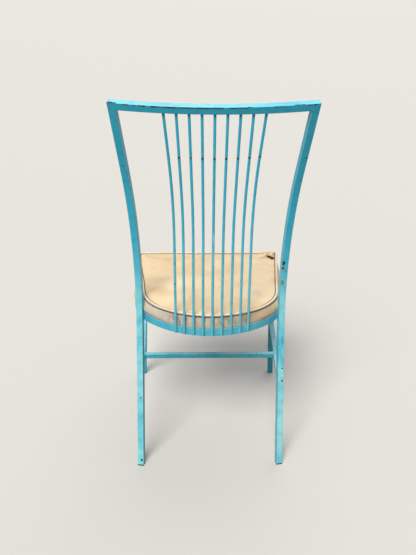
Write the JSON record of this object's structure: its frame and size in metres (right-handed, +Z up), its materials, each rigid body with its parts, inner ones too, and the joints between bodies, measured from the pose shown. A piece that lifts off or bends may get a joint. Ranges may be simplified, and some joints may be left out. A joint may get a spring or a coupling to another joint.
{
  "type": "spindle-back metal dining chair",
  "caption": "Weathered steel side chair with a bowed spindle back, splayed square legs, stretchers and a torn vinyl cushion seat; turquoise enamel chipped to rust.",
  "frame": {"origin": "on the floor, under the middle of the chair's overall box", "axes": "+Z up, -Y the way the seat faces, +X to the left of a person sitting in the chair"},
  "size_m": [0.4484, 0.4366, 0.9679],
  "materials": {
    "frame_enamel": "turquoise enamel, semi-gloss, faded, chipped to dark primer and rust",
    "glide_plastic": "black plastic, scuffed",
    "plywood": "raw birch plywood, darkened with age",
    "foam": "open-cell foam, yellowed and crumbling",
    "seat_vinyl": "cream vinyl upholstery, fine grain, stained, wrinkled, torn at one corner",
    "zinc_screw": "zinc-plated steel, dulled and spotted with rust",
    "rusty_steel": "bare steel with dry brown rust",
    "thread": "soiled polyester sewing thread"
  },
  "bodies": {
    "root": {"back_leg_left": "frame_enamel", "back_leg_right": "frame_enamel", "top_rail": "frame_enamel", "spindle_1": "frame_enamel", "spindle_2": "frame_enamel", "spindle_3": "frame_enamel", "spindle_4": "frame_enamel", "spindle_5": "frame_enamel", "spindle_6": "frame_enamel", "spindle_7": "frame_enamel", "spindle_8": "frame_enamel", "spindle_9": "frame_enamel", "seat_ring": "frame_enamel", "front_leg_left": "frame_enamel", "front_leg_right": "frame_enamel", "side_stretcher_left": "frame_enamel", "side_stretcher_right": "frame_enamel", "cross_stretcher": "frame_enamel", "seat_tab_front_left": "frame_enamel", "seat_tab_front_right": "frame_enamel", "seat_tab_back_left": "frame_enamel", "seat_tab_back_right": "frame_enamel", "glide_back_left": "glide_plastic", "glide_back_right": "glide_plastic", "glide_front_left": "glide_plastic", "glide_front_right": "glide_plastic", "seat_board": "plywood", "foam_pad": "foam", "seat_cover": "seat_vinyl", "seat_screws": "zinc_screw"}
  },
  "joints": []
}
